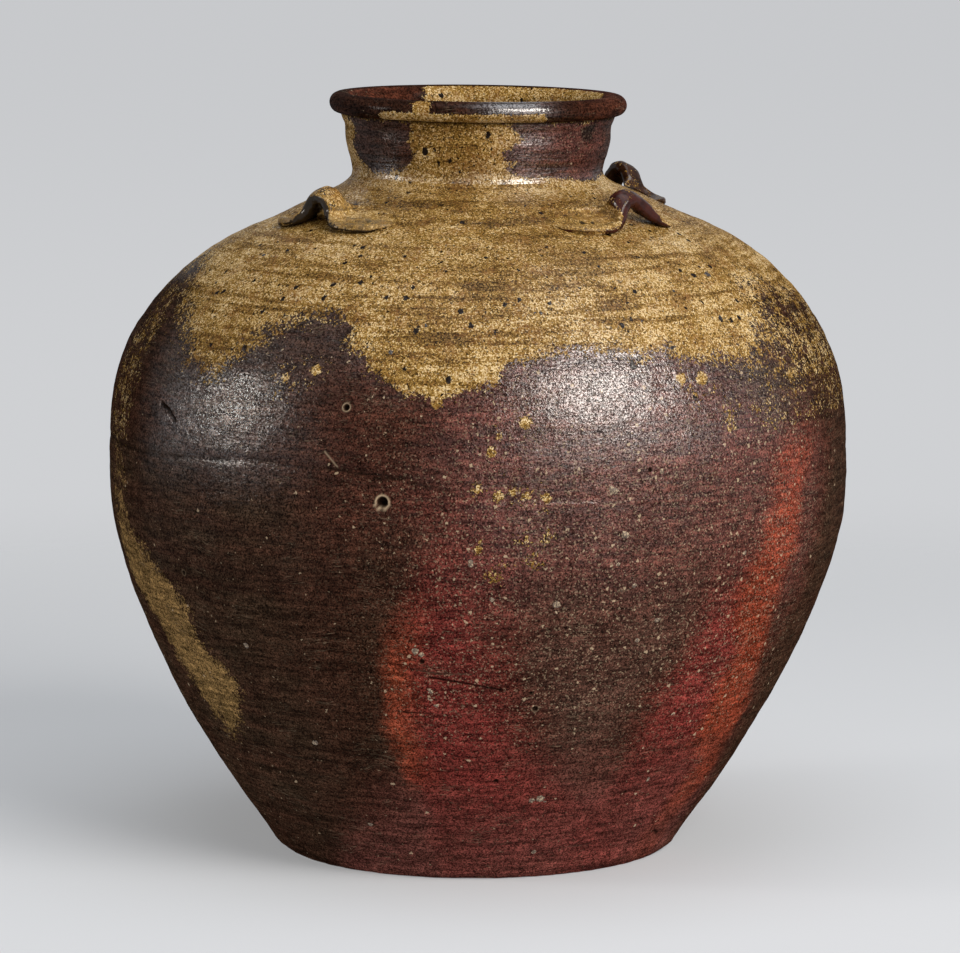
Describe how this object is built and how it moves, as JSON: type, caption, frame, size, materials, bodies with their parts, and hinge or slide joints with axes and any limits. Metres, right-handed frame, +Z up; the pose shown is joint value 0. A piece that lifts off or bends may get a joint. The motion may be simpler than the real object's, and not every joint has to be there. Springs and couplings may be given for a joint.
{
  "type": "lugged storage jar",
  "caption": "Free-standing high-shouldered stoneware storage jar with a short neck, a rolled rim and strap lugs that a cord passes through, under a runny ochre ash glaze.",
  "frame": {"origin": "centre of the foot, on the surface that the jar stands on", "axes": "+Z up along the jar's axis; -Y towards lug_front and +X towards lug_right, each within a few degrees"},
  "size_m": [0.4092, 0.4092, 0.42],
  "materials": {
    "foot_clay": "bare dark brown stoneware, matt and gritty",
    "flashed_clay": "dark brown stoneware with crimson flashes, satin",
    "ash_glaze": "runny ochre ash glaze over dark clay, semi-gloss",
    "neck_glaze": "brown clay with patches of ochre ash glaze, semi-gloss",
    "rim_glaze": "dark red-brown clay with traces of ash glaze, semi-gloss",
    "lug_glaze": "ochre and olive ash glaze, dark and glossy along the edges"
  },
  "bodies": {
    "root": {"base_disc": "foot_clay", "lower_wall": "flashed_clay", "shoulder_wall": "ash_glaze", "neck_collar": "neck_glaze", "mouth_rim": "rim_glaze", "lug_front": "lug_glaze", "lug_right": "lug_glaze", "lug_back": "lug_glaze", "lug_left": "lug_glaze"}
  },
  "joints": []
}
